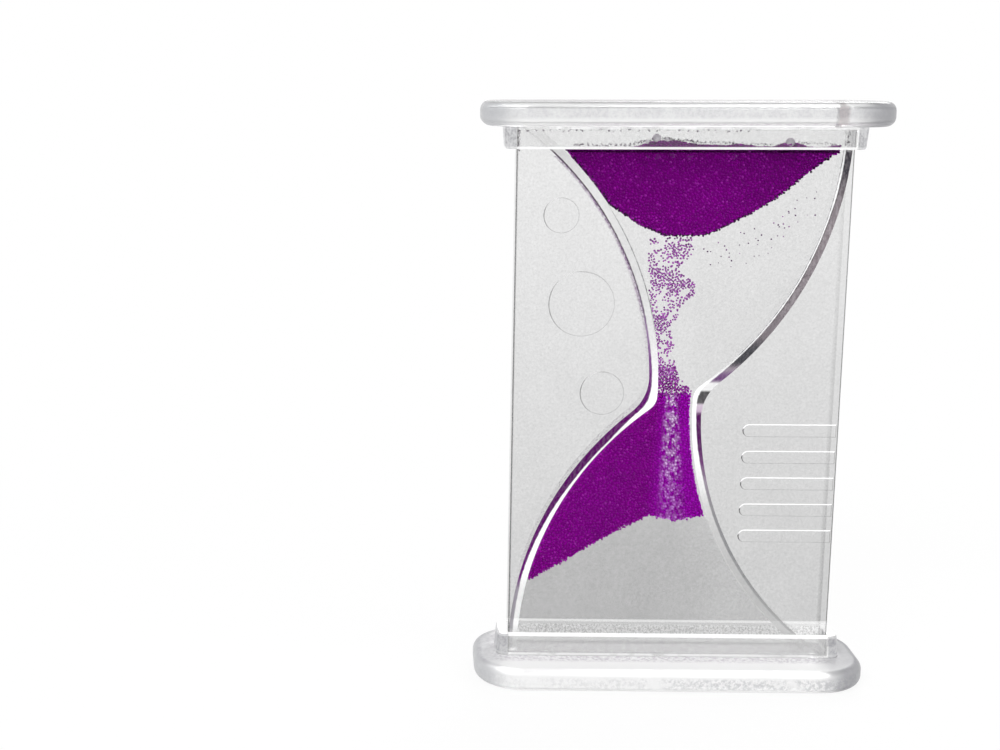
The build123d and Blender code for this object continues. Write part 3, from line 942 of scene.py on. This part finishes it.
class TIMER_OT_walls(bpy.types.Operator):
    """Build the two curved plastic channel walls, banded with painted reflection of the beads and the room
    and with painted light
    """

    bl_idname = "timer.walls"
    bl_label = "Channel Walls"

    # From the foot up: height in millimetres, colour of the dark band of painted reflection and glints,
    # its share of the wall, and how light the rest is, in painted light
    PAINTED_BANDS = {
        "left_channel_wall": (
            (8, (0.45, 0.45, 0.46), 0.45, 0.85), (22, (0.42, 0.38, 0.45), 0.40, 0.85),
            (25.5, (0.17, 0.0, 0.21), 0.30, 1.0), (34, (0.13, 0.0, 0.155), 0.42, 1.0),
            (43, (0.11, 0.0, 0.13), 0.58, 1.0), (51, (0.10, 0.0, 0.12), 0.76, 0.95),
            (61, (0.10, 0.0, 0.12), 0.82, 0.85), (67, (0.12, 0.0, 0.14), 0.52, 1.0),
            (72, (0.13, 0.0, 0.16), 0.36, 1.0), (79, (0.20, 0.04, 0.25), 0.32, 0.85),
            (87, (0.34, 0.22, 0.40), 0.22, 0.72), (97, (0.22, 0.17, 0.26), 0.17, 0.66),
            (108, (0.09, 0.06, 0.11), 0.14, 0.64), (131, (0.08, 0.03, 0.10), 0.17, 0.70)),
        "right_channel_wall": (
            (14, (0.50, 0.50, 0.50), 0.30, 0.52), (32, (0.36, 0.36, 0.37), 0.36, 0.55),
            (44, (0.36, 0.35, 0.37), 0.36, 0.66), (50, (0.40, 0.34, 0.42), 0.34, 0.85),
            (55, (0.20, 0.07, 0.22), 0.40, 0.95), (59, (0.11, 0.01, 0.13), 0.48, 1.0),
            (67.6, (0.10, 0.0, 0.11), 0.56, 1.0), (68.4, (0.75, 0.55, 0.75), 0.58, 1.0),
            (70.0, (0.75, 0.65, 0.75), 0.60, 1.0), (70.4, (0.11, 0.10, 0.11), 0.64, 1.0),
            (73.2, (0.09, 0.09, 0.09), 0.64, 1.0), (73.6, (1.0, 1.0, 1.0), 0.68, 1.0),
            (75.4, (1.0, 1.0, 1.0), 0.70, 1.0), (76.0, (0.15, 0.05, 0.19), 0.74, 0.9),
            (77.6, (0.22, 0.12, 0.26), 0.76, 0.85), (78.8, (0.40, 0.34, 0.40), 0.76, 0.85),
            (80.4, (0.06, 0.06, 0.07), 0.80, 0.9), (84.0, (0.07, 0.07, 0.08), 0.80, 1.0),
            (87.5, (0.24, 0.21, 0.23), 0.79, 1.0), (114, (0.28, 0.24, 0.26), 0.79, 1.0),
            (122, (0.22, 0.19, 0.21), 0.72, 1.0), (127, (0.09, 0.08, 0.10), 0.72, 1.0),
            (133, (0.10, 0.09, 0.11), 0.72, 1.0)),
    }
    # Heights between which a thin rim of painted shade edges the wall, in millimetres
    SHADE_RIM_HEIGHTS = {"left_channel_wall": (84, 121), "right_channel_wall": (76, 140)}
    # How strong the specks on the wall's outer side are
    SPECKLE = {"left_channel_wall": 0.5, "right_channel_wall": 0.0}
    LINE_POINTS = 160
    # The strip of reflection: its lowest and highest point, width, and depths behind the front
    GLOW_HEIGHTS = (78 * MM, 131 * MM)
    GLOW_WIDTH = 1.5 * MM
    GLOW_DEPTHS = (0.04 * MM, 0.08 * MM)

    def execute(self, context):
        for name, side in WALLS.items():
            low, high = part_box(name)
            left, right = wall_lines(name)
            pocket, channel = (left, right) if side < 0 else (right, left)
            pocket = even_points(pocket, self.LINE_POINTS)
            channel = even_points(channel, self.LINE_POINTS)
            painted_bands = [(height * MM / CHAMBER_HIGH.z, *rest) for height, *rest in self.PAINTED_BANDS[name]]
            shade_rim_heights = [height * MM for height in self.SHADE_RIM_HEIGHTS[name]]
            finish = wall_finish(name + "_plastic", side, painted_bands, shade_rim_heights, self.SPECKLE[name])
            wall = new_piece(name + "_strip", strip(pocket, channel, low.y + WELD, high.y - WELD), finish)
            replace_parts(wall, name)
            if side < 0:
                self.reflection(pocket, channel, low.y)
        return {"FINISHED"}

    def reflection(self, pocket, channel, front):
        """Thin strip beside the upper part of the left wall that shows the beads' reflection."""
        foot, top = self.GLOW_HEIGHTS
        near = []
        away = []
        for point, inner in zip(pocket, channel):
            if foot < point.y < top:
                near.append(point)
                away.append(point + (point - inner).normalized() * self.GLOW_WIDTH)
        film = strip(near, away, *(front + depth for depth in self.GLOW_DEPTHS))
        film = new_piece("bead_reflection", film, reflection_finish())


class TIMER_OT_liquid(bpy.types.Operator):
    """Finish the carrier liquid"""

    bl_idname = "timer.liquid"
    bl_label = "Liquid"

    # Regions of liquid are larger than this; the room round a drifting bead is smaller and is filled in
    LEAST_AREA = 30 * MM * MM

    def execute(self, context):
        finish = liquid_finish(context.scene.timer_plastic)
        outlines = [
            points for points in node_outlines("carrier_liquid") if area_of(points) > self.LEAST_AREA]
        if not outlines:
            raise RuntimeError("the liquid has no outline")
        for index, outline in enumerate(outlines):
            region = new_piece(f"liquid_{index + 1}", prism(outline, SLAB_HALF), finish)
            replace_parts(region, "carrier_liquid")
        return {"FINISHED"}


class TIMER_OT_heaps(bpy.types.Operator):
    """Build the two heaps: a dark core under a layer of packed beads"""

    bl_idname = "timer.heaps"
    bl_label = "Bead Heaps"

    # Uneven top of the upper heap, from left to right, in millimetres
    CREST = (
        (-30.0, 133.0), (-12.5, 132.9), (-10.0, 133.6), (-8.0, 134.3), (-4.5, 134.7), (-2.0, 134.6),
        (1.0, 134.1), (4.0, 133.7), (10.5, 133.5), (12.9, 133.9), (15.5, 133.6), (18.0, 133.2),
        (21.5, 133.2), (23.5, 134.0), (25.4, 134.2), (27.5, 134.0), (29.5, 133.2), (33.0, 133.0),
        (35.0, 133.2), (37.2, 133.8))
    # The top that is cut off the upper heap's outline is wider than this
    TOP_WIDTH = 20 * MM
    # Colour of the painted shade on the beads along an edge, their unevenness, and how far from the walls
    # it begins
    EDGE_SHADE_COLOUR = (0.045, 0.012, 0.055)
    EDGE_JITTER = 0.3 * MM
    WALL_GAP = 0.8 * MM

    def execute(self, context):
        beads = context.scene.timer_beads
        radius = beads.diameter / 2
        finish = bead_finish(beads, "packed_beads", beads.colour, column=True)
        edge_shade_finish = bead_finish(beads, "shaded_edge_beads", self.EDGE_SHADE_COLOUR, within=tuple(beads.colour))
        for name, edge in (("upper_bead_heap", edge_shade_finish), ("lower_bead_heap", finish)):
            outline = node_outline(name)
            if edge is edge_shade_finish:
                outline = self.crest(outline)
                rim = self.under_side(inset(outline, radius))
            else:
                rim = self.free_edge(inset(outline, radius))
            core = prism(inset(outline, 1.2 * beads.diameter), SLAB_HALF - 0.9 * beads.diameter)
            core = new_piece(name + "_core", core, finish)
            surface = prism(inset(outline, 1.7 * radius), SLAB_HALF - radius)
            skin = scatter(name + "_beads", surface, finish)
            fringe = scatter(name + "_edge", ribbon(rim, SLAB_HALF - radius), edge, Jitter=self.EDGE_JITTER)
            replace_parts(core, name)
            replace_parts(skin, name)
        return {"FINISHED"}

    def crest(self, outline):
        """The upper heap's outline with the uneven top that shows through the collar."""
        kept = [point for point in outline if point.y < LIQUID_LEVEL + WELD]
        top = [Vector((x, z)) * MM for x, z in reversed(self.CREST)]
        return open_line(kept, self.TOP_WIDTH) + top

    def under_side(self, outline):
        """Points of the upper heap's outline below its top."""
        return open_line([point for point in outline if point.y < LIQUID_LEVEL - 2 * MM], self.TOP_WIDTH)

    def free_edge(self, outline):
        """Points of the lower heap's outline that face open liquid, in order."""
        walls = [node_outline(name) for name in WALLS]
        free = [
            min(distance_to(point, wall) for wall in walls) > self.WALL_GAP
            and point.y < LIQUID_LEVEL - MM for point in outline]
        start = next(i for i in range(len(outline)) if free[i] and not free[i - 1])
        ordered = outline[start:] + outline[:start]
        flags = free[start:] + free[:start]
        return ordered[:flags.index(False)]


class TIMER_OT_stream(bpy.types.Operator):
    """Build the beads that rise from the neck to the upper heap"""

    bl_idname = "timer.stream"
    bl_label = "Bead Stream"

    # Height, left edge and right edge of the stream, from the lower heap up; these and the
    # heights below are in millimetres
    EDGES = (
        (72.2, -4.0, 4.0), (73.3, -4.0, 3.9), (74.6, -4.1, 2.6), (76.5, -4.3, 1.6), (79.0, -4.5, 0.4),
        (82.0, -4.6, -0.6), (84.5, -4.8, 0.2), (87.0, -5.1, -1.6), (90.0, -5.4, -1.4), (92.5, -5.9, 0.7),
        (95.0, -6.3, 0.9), (97.0, -6.6, 4.1), (99.8, -6.9, 4.0), (101.5, -7.0, 0.4), (104.5, -7.0, 0.6),
        (107.5, -7.0, 3.0), (110.6, -6.9, 3.2))
    MOVING_TOP = 105.0
    # Parts of the stream that stay: lowest and highest point
    STILL = {"stream_head": (MOVING_TOP - 0.3, EDGES[-1][0]), "stream_foot": (EDGES[0][0], 79.0)}
    # Depths of the sheets on which the moving and the still beads lie
    LANES = (-0.75 * MM, 0.55 * MM)
    SIDE_LANES = (-1.95 * MM, 1.95 * MM)
    SCATTER = {"Clump Level": 0.50, "Size Spread": 0.3}
    # The stream is full up to the first height, and grows thinner between the next two
    FULL_TOP = 73.8
    THIN_FROM, THIN_TO = 76.0, 92.0
    # Place across, lowest and highest point of the region where beads drift, in millimetres
    DRIFT = ((6, 106, 108.5), (12, 104, 110.5), (19, 106, 113.5), (26, 111, 118.5), (32, 117, 122.5))
    SPECKS = {"Bead Diameter": 0.45 * MM, "Spacing": 1.7 * MM, "Size Spread": 0.5, "Jitter": 1.2 * MM}
    SPECK_COLOUR = (0.17, 0.09, 0.19)

    def execute(self, context):
        beads = context.scene.timer_beads
        finish = bead_finish(beads, "single_beads", beads.lit_bead_colour)
        rising = scatter(
            "rising_bead_stream", self.sheets(self.LANES, self.EDGES[1][0], self.MOVING_TOP), finish,
            body=STREAM_BODY, **self.SCATTER)
        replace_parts(rising, "rising_beads")
        stray = bead_finish(beads, "stray_beads", self.SPECK_COLOUR)
        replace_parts(self.drifting(stray), "drifting_beads")
        for name, (low, high) in self.STILL.items():
            still = scatter(name, self.sheets(self.SIDE_LANES, low, high), finish, **self.SCATTER)
        return {"FINISHED"}

    def drifting(self, finish):
        """Few small beads that drift below the right slope of the upper heap."""
        work = bmesh.new()
        pairs = [(work.verts.new((x * MM, 0, low * MM)), work.verts.new((x * MM, 0, high * MM)))
                 for x, low, high in self.DRIFT]
        weave(work, list(zip(*pairs)))
        loose = scatter("drifting_specks", work, finish, body=LOOSE_BODY, **self.SPECKS)
        return loose

    def edges_at(self, height):
        """Height, left edge and right edge of the stream at any height."""
        below, above = next(
            pair for pair in zip(self.EDGES, self.EDGES[1:]) if height <= pair[1][0])
        share = (height - below[0]) / (above[0] - below[0])
        return [start + (end - start) * share for start, end in zip(below, above)]

    def sheets(self, lanes, low, high, cells=4, steps=12):
        """Upright sheets in the shape of the stream between two heights, one at each depth."""
        rows = [self.edges_at(low + (high - low) * step / steps) for step in range(steps + 1)]
        work = bmesh.new()
        fill = work.verts.layers.float.new("fill")
        for depth in lanes:
            grid = []
            for height, left, right in rows:
                row = []
                low_down = (self.THIN_TO - height) / (self.THIN_TO - self.THIN_FROM)
                low_down = max(0.0, min(1.0, low_down))
                for step in range(cells + 1):
                    share = step / cells
                    vert = work.verts.new(((left + (right - left) * share) * MM, depth, height * MM))
                    vert[fill] = 0.08 * (1 - share) + low_down * (0.65 - 0.85 * share)
                    if height < self.FULL_TOP:
                        vert[fill] = 2.0
                    row.append(vert)
                grid.append(row)
            weave(work, grid)
        return work


class TIMER_OT_bubbles(bpy.types.Operator):
    """Add the air bubbles and the droplets that cling inside the upper collar"""

    bl_idname = "timer.bubbles"
    bl_label = "Bubbles"

    # Place across, height and radius in millimetres
    DOMES = ((-6.6, 134.9, 1.0), (25.1, 133.9, 1.1), (-4.2, 134.5, 0.55), (-8.9, 134.0, 0.45))
    SUNKEN = (
        (-6.3, 130.3, 0.7), (-2.7, 130.6, 0.5), (1.4, 130.3, 0.75), (12.0, 130.4, 0.6),
        (-8.6, 130.4, 0.35))
    # How flat a bubble is from front to back, and how far it stays behind the front of the slab
    FLATNESS = 0.9
    BUBBLE_GAP = 0.05
    # Lines of droplets: place across and height of both ends, droplet diameter and spacing
    DROPLETS = (
        (-26.0, 133.3, -12.5, 133.3, 0.4, 0.8), (-38.0, 136.7, 18.0, 136.8, 0.5, 2.0),
        (-12.0, 133.6, -6.0, 134.8, 0.4, 0.6), (-5.0, 134.9, 4.0, 134.0, 0.4, 0.6),
        (4.0, 134.0, 21.0, 133.5, 0.35, 0.9), (27.0, 134.0, 36.0, 133.5, 0.35, 1.0),
        (-39.4, 131.9, -39.4, 136.6, 0.45, 0.7), (39.0, 131.9, 39.0, 136.6, 0.45, 0.9))
    # Cells along a line of droplets, and how far behind the front of the slab its surface stays
    CELLS = 12
    DROPLET_DEPTH = 0.6 * MM
    DROPLET_JITTER = 0.25 * MM

    def execute(self, context):
        # Painted light and shade: light air bubbles with darker rims, sunken bubbles with lighter rims,
        # droplets with darker rims
        air = bubble_finish("air_bubble", (0.90, 0.86, 0.92), (0.50, 0.28, 0.55), 0.85)
        sunken = bubble_finish("sunken_bubble", (0.26, 0.02, 0.30), (0.75, 0.40, 0.80), 0.7)
        drop = bubble_finish("droplet", (0.14, 0.09, 0.15), (0.05, 0.03, 0.06), 0.85)
        self.bubbles("air_bubbles", self.DOMES, air)
        self.bubbles("bubbles_in_beads", self.SUNKEN, sunken)
        for index, (x, z, end_x, end_z, diameter, spacing) in enumerate(self.DROPLETS):
            start, end = Vector((x, z)), Vector((end_x, end_z))
            line = [start.lerp(end, step / self.CELLS) * MM for step in range(self.CELLS + 1)]
            drops = scatter(
                f"droplets_{index + 1}", ribbon(line, SLAB_HALF - self.DROPLET_DEPTH), drop, **{
                    "Bead Diameter": diameter * MM, "Spacing": spacing * MM,
                    "Jitter": self.DROPLET_JITTER, "Size Spread": 0.5, "Seed": index})
        return {"FINISHED"}

    def bubbles(self, name, places, tone):
        """Flattened bubbles that lie against the front of the slab."""
        work = bmesh.new()
        for x, z, radius in places:
            depth = min(radius, SLAB_HALF / MM - self.BUBBLE_GAP) * self.FLATNESS
            middle = depth - SLAB_HALF / MM + self.BUBBLE_GAP
            made = bmesh.ops.create_uvsphere(work, u_segments=24, v_segments=14, radius=MM)
            bmesh.ops.scale(work, verts=made["verts"], vec=(radius, depth, radius))
            bmesh.ops.translate(work, verts=made["verts"], vec=Vector((x, middle, z)) * MM)
        for face in work.faces:
            face.smooth = True
        new_piece(name, work, tone)


class TIMER_PT_panel(bpy.types.Panel):
    """Lists the steps that dress the timer"""

    bl_idname = "TIMER_PT_panel"
    bl_label = "Liquid Motion Timer"
    bl_space_type = "VIEW_3D"
    bl_region_type = "UI"
    bl_category = "Timer"

    def draw(self, context):
        for group in (context.scene.timer_plastic, context.scene.timer_beads, context.scene.timer_stage):
            for name in group.bl_rna.properties.keys()[2:]:
                self.layout.prop(group, name)
        for operator in STEPS:
            self.layout.operator(operator.bl_idname)


GROUPS = {"timer_plastic": TimerPlastic, "timer_beads": TimerBeads, "timer_stage": TimerStage}
STEPS = (
    TIMER_OT_stage, TIMER_OT_shell, TIMER_OT_walls, TIMER_OT_liquid, TIMER_OT_heaps, TIMER_OT_stream,
    TIMER_OT_bubbles)


def register():
    for name, group in GROUPS.items():
        bpy.utils.register_class(group)
        setattr(bpy.types.Scene, name, PointerProperty(type=group))
    for kind in (*STEPS, TIMER_PT_panel):
        bpy.utils.register_class(kind)


def unregister():
    for kind in (TIMER_PT_panel, *reversed(STEPS)):
        bpy.utils.unregister_class(kind)
    for name, group in GROUPS.items():
        delattr(bpy.types.Scene, name)
        bpy.utils.unregister_class(group)


def main():
    register()
    bpy.ops.timer.stage()
    bpy.ops.timer.shell()
    bpy.ops.timer.walls()
    bpy.ops.timer.liquid()
    bpy.ops.timer.heaps()
    bpy.ops.timer.stream()
    bpy.ops.timer.bubbles()


if __name__ == "__main__":
    main()
